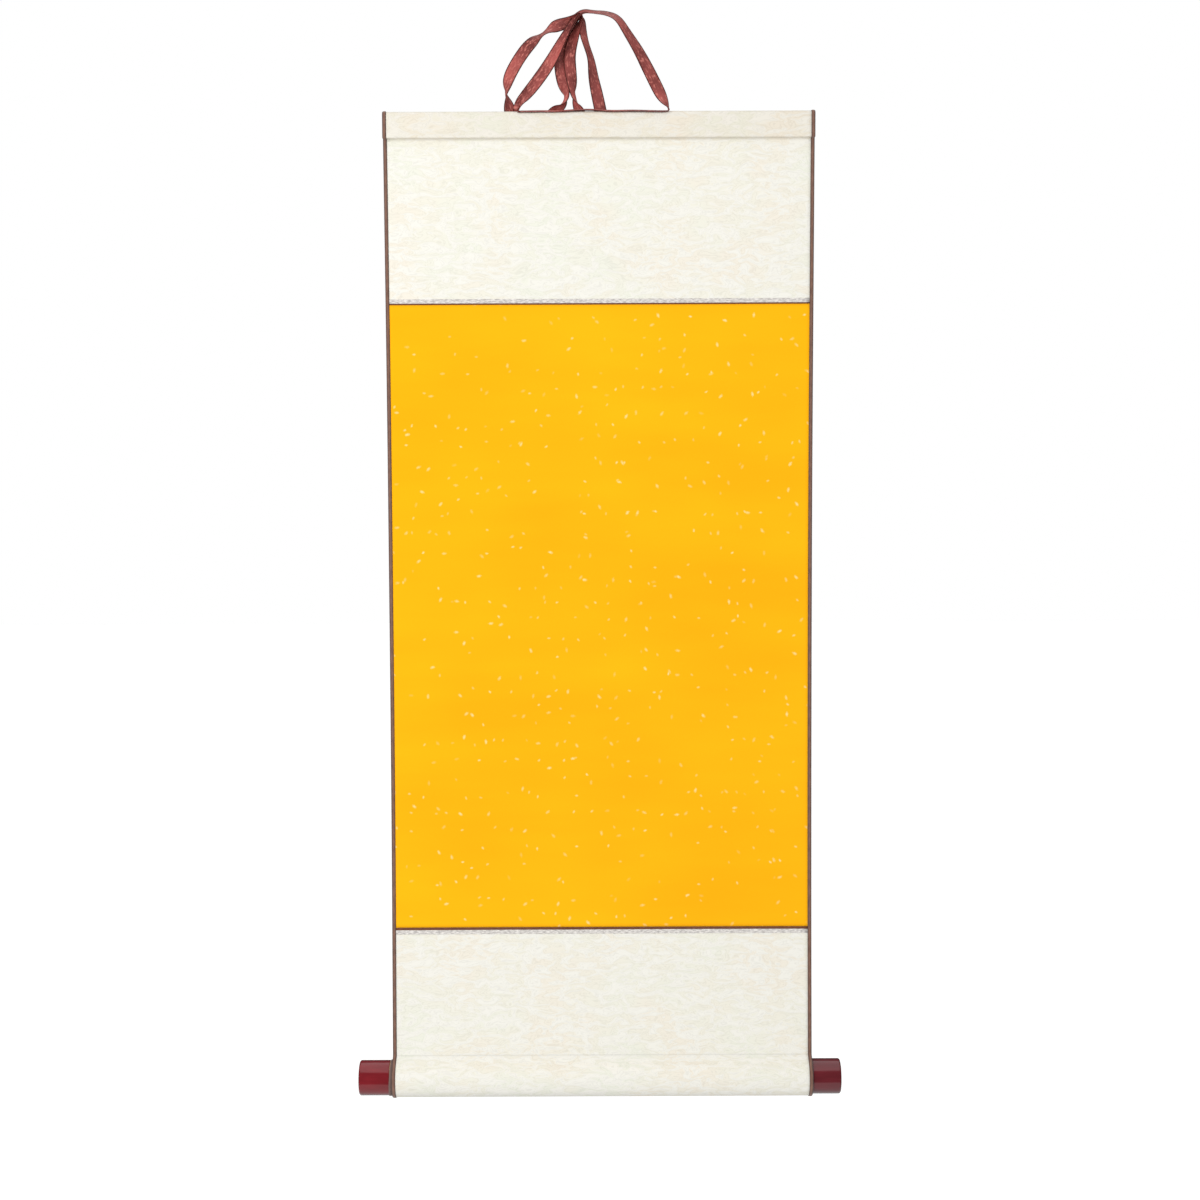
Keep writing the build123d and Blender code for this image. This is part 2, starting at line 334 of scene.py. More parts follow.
# along the band and out from its line, in millimetres
KNOT_BAND = [(-1.7, 1.35), (-1.2, 1.75), (0.0, 1.95), (1.2, 1.75), (1.7, 1.35)]
knot_mesh = bmesh.new()
knot_map = knot_mesh.loops.layers.uv.new("UVMap")
band_edge = [knot_mesh.verts.new((along * MM, 0, out * MM)) for along, out in KNOT_BAND]
band_line = [knot_mesh.edges.new(pair) for pair in zip(band_edge, band_edge[1:])]
bmesh.ops.spin(
    knot_mesh, geom=band_edge + band_line, axis=(1, 0, 0), cent=(0, 0, 0),
    angle=math.tau, steps=28, use_merge=True,
)
bmesh.ops.recalc_face_normals(knot_mesh, faces=knot_mesh.faces)
bmesh.ops.scale(knot_mesh, vec=KNOT_OVAL, verts=knot_mesh.verts)
bmesh.ops.rotate(knot_mesh, matrix=Matrix.Rotation(KNOT_LEAN, 3, "Y"), verts=knot_mesh.verts)
bmesh.ops.translate(knot_mesh, vec=KNOT_AT, verts=knot_mesh.verts)
for face in knot_mesh.faces:
    face.smooth = True
    for loop in face.loops:
        loop[knot_map].uv = (loop.vert.co.z, loop.vert.co.y - KNOT_AT.y)
ribbon_knot = finish_piece("ribbon_knot", knot_mesh)
thicken(ribbon_knot, 0.4 * MM, 1)
print("knot", len(ribbon_knot.data.polygons), "faces")

hanging_ribbon, hanging_line = ribbons["hanging_ribbon"]
tie_ribbon, tie_line = ribbons["tie_ribbon"]

# %% [markdown]
# ## The sheet seen from the side
# From the side the whole cloth is one long line: it starts behind the slat, goes up
# and over it, down its front and back in beneath it, hangs to the crease in a shallow
# bow, and wraps the roller. A line like this is quickest drawn with a pencil of one
# vertex: extruding it draws a straight, and spinning it about a centre draws an arc.
# Every centre and height is read from the solid pieces' boxes, so this side view
# follows them.

# %% Sizes read from the solid model
WEB = 0.2 * MM  # the binding's fold takes this much at each side
CLOTH = 0.3 * MM  # brocade, or the painting's paper, and the same again of lining
GLUE = 0.1 * MM
sheet_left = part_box("painting_paper")[0].x - WEB
sheet_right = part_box("right_edge_binding")[1].x
sheet_middle = (sheet_left + sheet_right) / 2
slat_low, slat_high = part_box("top_slat")
hem_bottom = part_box("backing_paper")[1].z
painting_low, painting_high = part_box("painting_paper")
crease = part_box("backing_paper")[0].z
roller_low, roller_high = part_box("bottom_roller")
roller_axis = (roller_low.z + roller_high.z) / 2
wrap_radius = roller_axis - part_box("lower_brocade")[0].z

sheet_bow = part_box("backing_paper")[1].y - CLOTH
bow_half = (hem_bottom - crease) / 2
bow_radius = (bow_half**2 + sheet_bow**2) / (2 * sheet_bow)
bow_centre = (sheet_bow - bow_radius, (hem_bottom + crease) / 2)
print("sheet", round((sheet_right - sheet_left) * 1000, 1), "wide, bow", round(sheet_bow * 1000, 2))
for name, height in (("hem bottom", hem_bottom), ("crease", crease), ("roller axis", roller_axis)):
    print(name, round(height * 1000, 1))


# %% The side view, drawn with one vertex
def draw_side_view(start, moves):
    """The points (y, z) of a line of straights ("to", y, z) and arcs ("arc", centre, degrees, steps)."""
    bm = bmesh.new()
    tip = bm.verts.new((0, *start))
    for kind, *how in moves:
        if kind == "to":
            tip = bmesh.ops.extrude_vert_indiv(bm, verts=[tip])["verts"][0]
            tip.co = (0, *how)
        else:
            centre, degrees, steps = how
            tip = bmesh.ops.spin(
                bm, geom=[tip], cent=(0, *centre), axis=(1, 0, 0),
                angle=math.radians(degrees), steps=steps,
            )["geom_last"][0]
    drawn = [Vector((v.co.y, v.co.z)) for v in bm.verts]
    bm.free()
    return drawn


def bow_turn(top, bottom):
    """Degrees that the bow's arc turns between two heights, less than zero on the way down."""
    angle = [math.degrees(math.asin((z - bow_centre[1]) / bow_radius)) for z in (top, bottom)]
    return angle[1] - angle[0]


# the cloth's corners over the slat, at its front foot, and where it turns down again
SLAT_CORNER, FOOT_CORNER, INNER_CORNER = 1.8 * MM, 0.9 * MM, 1.3 * MM
HEM_CUT = 0.4 * MM  # the cloth starts this far above the foot of the hem, behind the slat
hem_back, hem_front = slat_high.y + GLUE, slat_low.y - GLUE
hem_top_line, hem_foot_line = slat_high.z + GLUE, slat_low.z - GLUE
hem_moves = [
    ("to", hem_back, hem_top_line - SLAT_CORNER),
    ("arc", (hem_back - SLAT_CORNER, hem_top_line - SLAT_CORNER), 90, 8),
    ("to", hem_front + SLAT_CORNER, hem_top_line),
    ("arc", (hem_front + SLAT_CORNER, hem_top_line - SLAT_CORNER), 90, 8),
    ("to", hem_front, hem_foot_line + FOOT_CORNER),
    ("arc", (hem_front + FOOT_CORNER, hem_foot_line + FOOT_CORNER), 90, 8),
    ("to", -INNER_CORNER, hem_foot_line),
    ("arc", (-INNER_CORNER, hem_foot_line - INNER_CORNER), -90, 5),
]
hem_line = draw_side_view((hem_back, hem_foot_line + HEM_CUT), hem_moves)


def draw_bow(start, top, bottom, steps):
    """The hanging sheet's side view, on its bow from a point and down between two heights."""
    return draw_side_view(tuple(start), [("arc", bow_centre, bow_turn(top, bottom), steps)])


hem_end = hem_line[-1].y
upper_line = draw_bow((0, hem_end), hem_end, painting_high.z, 40)
painting_line = draw_bow(upper_line[-1], painting_high.z, painting_low.z, 150)
lower_line = draw_bow(painting_line[-1], painting_low.z, crease, 32)

wrap_line_radius = wrap_radius - CLOTH
LAST_TURN_END = (0.45 * MM, crease - 1.2 * MM)  # just behind the sheet, under the crease
neck = math.asin(wrap_line_radius / (crease - roller_axis))
roll_start = (-wrap_line_radius * math.cos(neck), roller_axis + wrap_line_radius * math.sin(neck))
roll_moves = [
    ("to", *roll_start),
    ("arc", (0, roller_axis), 180 + 2 * math.degrees(neck), 72),
    ("to", *LAST_TURN_END),
]
roll_line = draw_side_view(tuple(lower_line[-1]), roll_moves)
print("rows", [len(part) for part in (hem_line, upper_line, painting_line, lower_line, roll_line)])

# %% [markdown]
# ## The sheet's layers
# A scroll is mounted in layers pasted together: a lining of plain paper behind, and
# in front of it the brocade above, the painting's paper and the brocade below. Each
# layer is a grid as wide as the sheet, laid down its own part of the side view and
# then thickened, the faces forwards and the lining backwards.
# Pasted paper never hangs quite flat. One shared ripple, less than a millimetre high,
# moves every layer alike, so that none comes through another, and it dies out towards
# the hem and the crease, which the slat and the roller keep straight.

# %% Layers of the sheet
RIPPLE_HEIGHT = 0.9 * MM
RIPPLE_WIDTH, RIPPLE_LENGTH = 0.11, 0.17
RIPPLE_FADE = 0.05  # it grows from nothing over this much of the sheet at either end
RIPPLE_SLICE = 3.7  # where the noise is cut
SHEET_COLUMNS = 60


def ripple(x, z):
    """How far the hanging sheet stands off its bow at a place."""
    below_hem, above_crease = (max(0.0, far / RIPPLE_FADE) for far in (hem_bottom - z, z - crease))
    hold = min(1.0, below_hem, above_crease)
    return RIPPLE_HEIGHT * hold * noise.noise(Vector((x / RIPPLE_WIDTH, RIPPLE_SLICE, z / RIPPLE_LENGTH)))


def facing(line, row):
    """The direction (y, z) straight out of the cloth's face at a row of a side view."""
    along = line[min(row + 1, len(line) - 1)] - line[max(row - 1, 0)]
    return Vector((along.y, -along.x)).normalized()


def lay_sheet(line, left, right, start=0.0, out=0.0):
    """A layer of the sheet between two side edges, laid down a side view."""
    far = distances(line)

    def place(row, share):
        x = left + (right - left) * share
        spot = line[row] + facing(line, row) * out
        return (x, spot.x + ripple(x, spot.y), spot.y), (x, start - far[row])

    return lay_flat_piece(len(line), SHEET_COLUMNS, place)


def join_lines(*parts):
    """One side view from several that follow each other."""
    joined = list(parts[0])
    for part in parts[1:]:
        joined += part[1:]
    return joined


layer_left, layer_right = sheet_left + WEB, sheet_right - WEB
LOWER_CUT = -0.5  # the lower brocade is cut from half a metre further down the same roll
sheet_layers = {
    "upper_brocade": (join_lines(hem_line, upper_line), "ivory_brocade", 1, 0.0),
    "painting_paper": (painting_line, "gold_flecked_paper", 1, 0.0),
    "lower_brocade": (join_lines(lower_line, roll_line), "ivory_brocade", 1, LOWER_CUT),
    "backing_paper": (join_lines(upper_line, painting_line, lower_line), "lining_paper", -1, 0.0),
}
layers = {}
for name, (line, slot, grows, start) in sheet_layers.items():
    layer = finish_piece(name + "_layer", lay_sheet(line, layer_left, layer_right, start), [name])
    thicken(layer, CLOTH, grows)
    layers[name] = layer

# %% [markdown]
# ## Strips across the face
# Between the brocade and the painting lie two narrow strips at each end: a silver one
# of brocade and a thin brown line. They are laid on the finished face, so each is a
# grid of a few rows that stands out from the sheet by the face's own thickness.

# %% Strips
def part_of_bow(top, bottom, rows):
    """Evenly spaced points of the bow between two heights."""
    points = []
    for step in range(rows):
        z = top + (bottom - top) * step / (rows - 1)
        angle = math.asin((z - bow_centre[1]) / bow_radius)
        points.append(Vector((bow_centre[0] + bow_radius * math.cos(angle), z)))
    return points


STRIP = 0.15 * MM  # how thick strips and bindings are
STRIP_ROWS = 9
strips = {}
for name, slot in (
    ("upper_silver_strip", "silver_brocade_strip"), ("upper_brown_line", "brown_edging"),
    ("lower_silver_strip", "silver_brocade_strip"), ("lower_brown_line", "brown_edging"),
):
    low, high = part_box(name)
    line = part_of_bow(high.z, low.z, STRIP_ROWS)
    strip = finish_piece(name + "_cloth", lay_sheet(line, low.x, high.x, out=CLOTH), [name])
    thicken(strip, STRIP, 1)
    strips[name] = strip
print("strips", list(strips))

# %% [markdown]
# ## The edge bindings
# Each side edge is closed by a strip of brown cloth folded over it, so the edge shows
# as a soft rounded bead rather than a cut. The binding is laid down the whole side
# view, from the hem over the slat and down to the last turn on the roller. Its section
# is a narrow U: out of the back, round the edge, and over the face. Inside the hem and
# on the roller the back leg is short, because the slat and the roller are there.

# %% Bindings
BINDING_WIDTH = 2.5 * MM
# where there is little room, the back leg reaches in by this share of the width at most,
# and keeps this share of its height
LEG_REACH, LEG_HEIGHT = 0.36, 0.4
# how far in from the edge, as a share of the width, and how far out from the cloth, in millimetres
BINDING_SECTION = [
    (1.0, -0.34), (0.92, -0.46), (0.5, -0.58), (0.18, -0.5), (0.03, -0.27), (0.0, 0.0),
    (0.03, 0.27), (0.18, 0.52), (0.5, 0.66), (0.8, 0.62), (0.93, 0.5), (1.0, 0.34),
]
binding_line = join_lines(hem_line, upper_line, painting_line, lower_line, roll_line)
binding_far = distances(binding_line)
sheet_rows = range(len(hem_line), len(binding_line) - len(roll_line))


def lay_binding(edge, inwards):
    """A binding folded over one side edge; inwards is 1 on the left and -1 on the right."""
    section = BINDING_SECTION if inwards > 0 else BINDING_SECTION[::-1]
    columns = len(section) - 1

    def place(row, share):
        inside, out = section[round(share * columns)]
        if out < 0 and row not in sheet_rows:
            inside, out = min(inside, LEG_REACH), out * LEG_HEIGHT
        x = edge + inwards * inside * BINDING_WIDTH
        spot = binding_line[row] + facing(binding_line, row) * out * MM
        return (x, spot.x + ripple(x, spot.y), spot.y), (inside * BINDING_WIDTH, binding_far[row])

    return lay_flat_piece(len(binding_line), columns, place)


bindings = []
for name, edge, inwards in (("left_edge_binding", sheet_left, 1), ("right_edge_binding", sheet_right, -1)):
    binding = finish_piece(name + "_cloth", lay_binding(edge, inwards), [name])
    thicken(binding, STRIP, 1)
    bindings.append(binding)
    print(name, len(binding.data.polygons), "faces")

# %% [markdown]
# ## Round pieces, turned as on a lathe
# The knobs are turned wood under red lacquer: a plain cylinder with a rounded rim, a
# lightly crowned end and a small dimple left by the lathe's centre. The first turn of
# cloth on the roller was pasted a little askew, and its bound edge shows as a brown
# ring beside the left knob. Both are drawn as half a section and spun a full turn. A
# vertex bevel rounds the section's corners before it is spun. The lacquer laps a little
# over the roller's end, so that no bare wood shows between knob and cloth.

# %% Lathe
def turn_piece(section, roundings, outward_x, steps=96, closed=False):
    """Spins a section (along, radius) about the roller's axis; roundings give a bevel for some corners."""
    bm = bmesh.new()
    corners = [bm.verts.new((along * MM, 0, radius * MM)) for along, radius in section]
    for pair in zip(corners, corners[1:] + corners[:1] if closed else corners[1:]):
        bm.edges.new(pair)
    for corner, size in roundings.items():
        bmesh.ops.bevel(
            bm, geom=[corners[corner]], offset=size * MM, segments=6, profile=0.5,
            affect="VERTICES", material=-1,
        )
    bmesh.ops.spin(
        bm, geom=bm.verts[:] + bm.edges[:], axis=(1, 0, 0), cent=(0, 0, 0),
        angle=math.tau, steps=steps, use_merge=True,
    )
    bmesh.ops.remove_doubles(bm, verts=bm.verts, dist=1e-6)
    bmesh.ops.scale(bm, vec=(outward_x, 1, 1), verts=bm.verts)
    bmesh.ops.recalc_face_normals(bm, faces=bm.faces)
    for face in bm.faces:
        face.smooth = True
    return bm


# %% Knobs
KNOB_RADIUS, KNOB_LENGTH, KNOB_DOME = 12.4, 20.6, 0.9  # in millimetres
KNOB_LIP = 2.0  # the lacquer runs this far over the roller's end
DIMPLE_RADIUS, DIMPLE_DEPTH = 1.5, 0.6
knob_section = [
    (-KNOB_LIP, 0), (-KNOB_LIP, KNOB_RADIUS), (KNOB_LENGTH - KNOB_DOME, KNOB_RADIUS),
    (KNOB_LENGTH - 0.25 * KNOB_DOME, KNOB_RADIUS / 2),
    (KNOB_LENGTH, DIMPLE_RADIUS), (KNOB_LENGTH - DIMPLE_DEPTH, 0),
]
KNOB_ROUNDINGS = {1: 0.4, 2: 1.3, 4: 0.3}
knobs = []
for name, seat, outward in (("left_knob", roller_low.x, -1), ("right_knob", roller_high.x, 1)):
    knob_mesh = turn_piece(knob_section, KNOB_ROUNDINGS, outward)
    bmesh.ops.translate(knob_mesh, vec=(seat, 0, roller_axis), verts=knob_mesh.verts)
    knobs.append(finish_piece(name + "_turned", knob_mesh, [name]))
    print(name, len(knobs[-1].data.polygons), "faces")

# %% The first turn's edge
RING_BORE, RING_RADIUS = 12.15, 12.75  # in millimetres
RING_TUCK = 0.6  # it is tucked this far in under the next turn
RING_ROUNDINGS = {0: 0.2, 1: 0.28}
RING_SKEW = 0.55 * MM  # it stands out this much less at the top and more at the foot
RING_SHOWN = 0.62  # it stands out this share of what the solid turn does
ring_reach = RING_SHOWN * (sheet_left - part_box("left_edge_binding")[0].x)
ring_end = ring_reach / MM + RING_TUCK
ring_section = [(0, RING_BORE), (0, RING_RADIUS), (ring_end, RING_RADIUS), (ring_end, RING_BORE)]
ring_mesh = turn_piece(ring_section, RING_ROUNDINGS, 1, closed=True)
for vert in ring_mesh.verts:
    if vert.co.x < ring_reach / 2:
        vert.co.x += RING_SKEW * vert.co.z / (RING_RADIUS * MM)
bmesh.ops.translate(ring_mesh, vec=(sheet_left - ring_reach, 0, roller_axis), verts=ring_mesh.verts)
first_turn_edge = finish_piece("first_turn_edge", ring_mesh)
print("first turn stands out", round(ring_reach * 1000, 1), "mm")

# %% [markdown]
# ## Finishes
# Each finish is a small tree of nodes. Colours are written as the hex values that a
# paint shop would give, and one function turns them to the linear values that light
# is added up in. Another adds one node, with its settings and links. Where it is given
# a whole node to link from, it takes the output that the node's settings leave in use.
# Patterns on cloth read the UV map, which is in metres, so every scale is one over a
# real size.

# %% Helpers for finishes
def linear(hex_colour):
    """The linear colour of an sRGB hex value such as #FFC015."""
    parts = [int(hex_colour[i : i + 2], 16) / 255 for i in (1, 3, 5)]
    return (*[c / 12.92 if c <= 0.04045 else ((c + 0.055) / 1.055) ** 2.4 for c in parts], 1.0)


def main_output(source):
    """A socket as it is, or a node's first output in use."""
    if isinstance(source, bpy.types.Node):
        return next(socket for socket in source.outputs if socket.enabled)
    return source


def add_node(owner, kind, inputs, **settings):
    """Adds a node to a material or world, gives it its settings, and sets or links its inputs."""
    tree = owner.node_tree
    node = tree.nodes.new("ShaderNode" + kind)
    for setting, value in settings.items():
        setattr(node, setting, value)
    for socket, value in inputs.items():
        if isinstance(value, (bpy.types.Node, bpy.types.NodeSocket)):
            tree.links.new(main_output(value), node.inputs[socket])
        else:
            node.inputs[socket].default_value = value
    return node


def new_finish(name, **constants):
    """A material with its surface's constant values set, and that surface node."""
    material = bpy.data.materials.new(name)
    material.use_nodes = True
    surface = material.node_tree.nodes["Principled BSDF"]
    for socket, value in constants.items():
        surface.inputs[socket.replace("_", " ")].default_value = value
    return material, surface


def stretched_noise(material, place, per_metre, **settings):
    """A noise whose grains are so many to the metre in each direction of a place."""
    space = add_node(material, "VectorMath", {0: place, 1: per_metre}, operation="MULTIPLY")
    return add_node(material, "TexNoise", {"Vector": space, "Scale": 1.0, **settings})


def two_tone(material, source, low, high, from_colour, to_colour):
    """A colour that goes from one hex value to another while the source goes from low to high."""
    share = add_node(material, "MapRange", {"Value": source, "From Min": low, "From Max": high})
    colours = {MIX_A: linear(from_colour), MIX_B: linear(to_colour)}
    return add_node(material, "Mix", {0: share, **colours}, data_type="RGBA")


def dress_surface(material, surface, colour, gloss, height, strength, depth):
    """Gives the surface its colour and roughness, and bumps of some depth where the height rises."""
    bump = add_node(material, "Bump", {"Height": height, "Strength": strength, "Distance": depth})
    for socket, source in (("Base Color", colour), ("Roughness", gloss), ("Normal", bump)):
        material.node_tree.links.new(main_output(source), surface.inputs[socket])
    print(material.name, len(material.node_tree.nodes), "nodes")
    return bump


MIX_A, MIX_B = 6, 7  # the Mix node's two colour sockets; its two plain numbers are 2 and 3
WAVE = 0.314  # over a spacing in metres, gives a wave texture that spacing

# %% [markdown]
# ## Ivory brocade
# Brocade for mounting is a silk or viscose damask: the ground and the figure are the
# same ivory thread, but the figure is woven to float on top, so it shines where the
# ground is dull. The figure here is a drift of cloud-like leaves, about 12 mm long and
# 5 mm high. A noise stretched along the cloth and warped by another gives such shapes,
# and a cut through it gives them an outline. The threads are a third of a millimetre
# apart on the real cloth, and are drawn three times as coarse to show.
# The cloth round the slat, in the hem, is tinted a shade darker and warmer, and a thin
# line of painted shade darkens the crease where the sheet folds over on to the roller.

# %% The brocade's figure
LEAF_LENGTH, LEAF_HEIGHT, THREADS = 11.5 * MM, 4.8 * MM, 1.0 * MM
brocade, surface = new_finish("ivory_damask_brocade", Sheen_Weight=0.08, Sheen_Roughness=0.4, IOR=1.46)
cloth = add_node(brocade, "UVMap", {}, uv_map="UVMap")
drift = add_node(brocade, "TexNoise", {"Vector": cloth, "Scale": 1 / (22 * MM), "Detail": 2.0})
warped = add_node(
    brocade, "VectorMath", {0: drift.outputs["Color"], 1: (16 * MM, 10 * MM, 0), 2: cloth},
    operation="MULTIPLY_ADD",
)
leaves = stretched_noise(
    brocade, warped, (1 / LEAF_LENGTH, 1 / LEAF_HEIGHT, 0), Detail=2.5, Distortion=1.0
)
figure = add_node(
    brocade, "MapRange", {"Value": leaves, "From Min": 0.47, "From Max": 0.54},
    interpolation_type="SMOOTHSTEP",
)
vein_wave = add_node(brocade, "Math", {0: leaves, 1: 0.055}, operation="PINGPONG")
veins = add_node(brocade, "MapRange", {"Value": vein_wave, "From Min": 0.004, "From Max": 0.022})
threads = add_node(
    brocade, "TexWave", {"Vector": cloth, "Scale": WAVE / THREADS, "Distortion": 1.5, "Detail": 1.0},
    bands_direction="Y",
).outputs["Fac"]
print("leaves", round(LEAF_LENGTH * 1000, 1), "by", round(LEAF_HEIGHT * 1000, 1), "mm")

# %% The brocade's colour and relief
HEM_CLOTH = distances(hem_line)[-1]
CREASE_AT = LOWER_CUT - distances(lower_line)[-1]
tone_noise = add_node(brocade, "TexNoise", {"Vector": cloth, "Scale": 1 / (50 * MM), "Detail": 3.0})
ground = two_tone(brocade, tone_noise, 0.38, 0.62, "#E7E7DA", "#EAE4D6")
figured = add_node(brocade, "Mix", {0: figure, MIX_A: ground, MIX_B: linear("#EDEBE2")}, data_type="RGBA")
down_cloth = add_node(brocade, "SeparateXYZ", {"Vector": cloth}).outputs["Y"]
# the cloth in the hem is tinted a shade darker and warmer
hem_share = add_node(
    brocade, "MapRange",
    {"Value": down_cloth, "From Min": -HEM_CLOTH - 1.0 * MM, "From Max": -HEM_CLOTH + 1.0 * MM},
)
hemmed = add_node(
    brocade, "Mix", {0: hem_share, MIX_A: figured, MIX_B: linear("#F8F5F2")},
    data_type="RGBA", blend_type="MULTIPLY",
)
vein_shade = add_node(brocade, "MapRange", {"Value": veins, "To Min": 0.915, "To Max": 1.0})
from_crease = add_node(brocade, "Math", {0: down_cloth, 1: CREASE_AT}, operation="SUBTRACT")
off_crease = add_node(brocade, "Math", {0: from_crease}, operation="ABSOLUTE")
# painted shade: a thin darker line along the crease where the sheet bends on to the roller
crease_shade = add_node(
    brocade, "MapRange",
    {"Value": off_crease, "From Min": 0.2 * MM, "From Max": 0.7 * MM, "To Min": 0.9, "To Max": 1.0},
)
# the damask's vein outlines, multiplied by the painted crease shade
vein_and_crease_shade = add_node(brocade, "Math", {0: vein_shade, 1: crease_shade}, operation="MULTIPLY")
outlined = add_node(
    brocade, "Mix", {0: 1.0, MIX_A: hemmed, MIX_B: vein_and_crease_shade}, data_type="RGBA", blend_type="MULTIPLY"
)
gloss = add_node(brocade, "MapRange", {"Value": figure, "To Min": 0.78, "To Max": 0.42})
relief = add_node(brocade, "Math", {0: threads, 1: 0.25, 2: figure}, operation="MULTIPLY_ADD")
raised = add_node(brocade, "Math", {0: veins, 1: 0.4, 2: relief}, operation="MULTIPLY_ADD")
dress_surface(brocade, surface, outlined, gloss, raised, 0.5, 0.12 * MM)
print("cloth in the hem", round(HEM_CLOTH * 1000, 1), "mm, crease at", round(CREASE_AT, 4))

# %% [markdown]
# ## Gold-flecked paper
# The painting's ground is absorbent bast paper, dyed a strong golden yellow and
# sprinkled with flakes of pale gold foil while it is wet. The dye takes unevenly along
# the brush, which leaves faint level streaks. The flakes are two to four millimetres
# long, rather more than half as wide, and lie every way. A Voronoi pattern gives each
# flake a cell of its own. Measuring from the cell's centre, turning by a random angle
# and squeezing one way makes the flake a small lozenge, and a fine noise frays its edge.

# %% The paper's dye
STREAKS = (5.0, 26.0, 0)  # how many to the metre, along the paper's width and down it
paper, surface = new_finish("gold_flecked_bast_paper", IOR=1.5, Specular_IOR_Level=0.15)
sheet_map = add_node(paper, "UVMap", {}, uv_map="UVMap")
streaks = stretched_noise(paper, sheet_map, STREAKS, Detail=3.0)
clouds = add_node(paper, "TexNoise", {"Vector": sheet_map, "Scale": 1 / (130 * MM), "Detail": 2.0})
dye = add_node(paper, "Math", {0: streaks, 1: clouds}, operation="ADD")
shade = two_tone(paper, dye, 0.75, 1.25, "#FDAF08", "#FFB80C")
print("streaks to the metre", STREAKS[:2])

# %% The paper's flakes
# how far apart the flakes lie, how long and wide they are, and what share of the cells has one
FLAKES = ((16.5 * MM, 4.4 * MM, 2.4 * MM, 0.55), (12.5 * MM, 3.0 * MM, 1.9 * MM, 0.42))
fray = add_node(paper, "TexNoise", {"Vector": sheet_map, "Scale": 1 / (0.9 * MM), "Detail": 2.0})
flake_masks = []
for spacing, length, width, share in FLAKES:
    cells = add_node(
        paper, "TexVoronoi", {"Vector": sheet_map, "Scale": 1 / spacing}, voronoi_dimensions="2D"
    )
    luck = add_node(paper, "SeparateColor", {"Color": cells.outputs["Color"]}).outputs
    from_centre = add_node(
        paper, "VectorMath", {0: sheet_map, 1: cells.outputs["Position"]}, operation="SUBTRACT"
    )
    angle = add_node(paper, "Math", {0: luck["Red"], 1: math.tau}, operation="MULTIPLY")
    turned = add_node(paper, "VectorRotate", {"Vector": from_centre, "Angle": angle}, rotation_type="Z_AXIS")
    squeezed = add_node(paper, "VectorMath", {0: turned, 1: (2 / length, 2 / width, 0)}, operation="MULTIPLY")
    reach = add_node(paper, "VectorMath", {0: squeezed}, operation="LENGTH")
    frayed = add_node(paper, "Math", {0: fray, 1: 1.0, 2: reach}, operation="MULTIPLY_ADD")
    flake = add_node(paper, "MapRange", {"Value": frayed, "From Min": 1.45, "From Max": 0.75})
    kept = add_node(paper, "Math", {0: luck["Green"], 1: share}, operation="LESS_THAN")
    shine = add_node(paper, "MapRange", {"Value": luck["Blue"], "To Min": 0.12, "To Max": 0.90})
    present = add_node(paper, "Math", {0: kept, 1: shine}, operation="MULTIPLY")
    flake_masks.append(add_node(paper, "Math", {0: flake, 1: present}, operation="MULTIPLY"))
flakes = add_node(paper, "Math", dict(enumerate(flake_masks)), operation="MAXIMUM")
flecked = add_node(paper, "Mix", {0: flakes, MIX_A: shade, MIX_B: linear("#FFDC94")}, data_type="RGBA")
paper_gloss = add_node(paper, "MapRange", {"Value": flakes, "To Min": 0.82, "To Max": 0.45})
fibres = add_node(paper, "TexNoise", {"Vector": sheet_map, "Scale": 1 / (1.2 * MM), "Detail": 4.0})
paper_relief = add_node(paper, "Math", {0: flakes, 1: 0.8, 2: fibres}, operation="MULTIPLY_ADD")
dress_surface(paper, surface, flecked, paper_gloss, paper_relief, 0.35, 0.08 * MM)
print("flakes up to", [round(flake_size[1] * 1000, 1) for flake_size in FLAKES], "mm long")

# %% [markdown]
# ## Lining paper
# The back is lined with plain white xuan paper, a soft long-fibred sheet. What the eye
# gets is a dull white with faint clouds and a felt of fibres.

# %% Lining paper
FIBRES = (900.0, 260.0, 0)  # how many to the metre, across and down the sheet
lining, surface = new_finish("white_xuan_lining_paper", IOR=1.5, Specular_IOR_Level=0.25)
lining_map = add_node(lining, "UVMap", {}, uv_map="UVMap")
felt = stretched_noise(lining, lining_map, FIBRES, Detail=4.0, Distortion=1.2)
pulp = add_node(lining, "TexNoise", {"Vector": lining_map, "Scale": 1 / (30 * MM), "Detail": 4.0})
pulp_share = add_node(lining, "Math", {0: felt, 1: pulp}, operation="MULTIPLY")
lining_tone = two_tone(lining, pulp_share, 0.12, 0.4, "#EDEAE0", "#F8F7F2")
lining_gloss = add_node(lining, "MapRange", {"Value": felt, "To Min": 0.95, "To Max": 0.8})
dress_surface(lining, surface, lining_tone, lining_gloss, felt, 0.4, 0.1 * MM)

# %% [markdown]
# ## Silver brocade strip
# The strips beside the painting are cut from a silver-thread brocade. The flat metal
# threads catch the light one by one, so the strip is a broken mix of silver grey and
# near white. A noise drawn out along the threads gives it.

# %% Silver brocade strip
silver, surface = new_finish("silver_thread_brocade", Metallic=0.2)
silver_map = add_node(silver, "UVMap", {}, uv_map="UVMap")
glints = stretched_noise(silver, silver_map, (1 / (2.8 * MM), 1 / (0.7 * MM), 0), Detail=3.0)
silver_tone = two_tone(silver, glints, 0.38, 0.62, "#C4BFBB", "#FBF6F0")
silver_gloss = add_node(silver, "MapRange", {"Value": glints, "To Min": 0.65, "To Max": 0.3})
dress_surface(silver, surface, silver_tone, silver_gloss, glints, 0.5, 0.1 * MM)
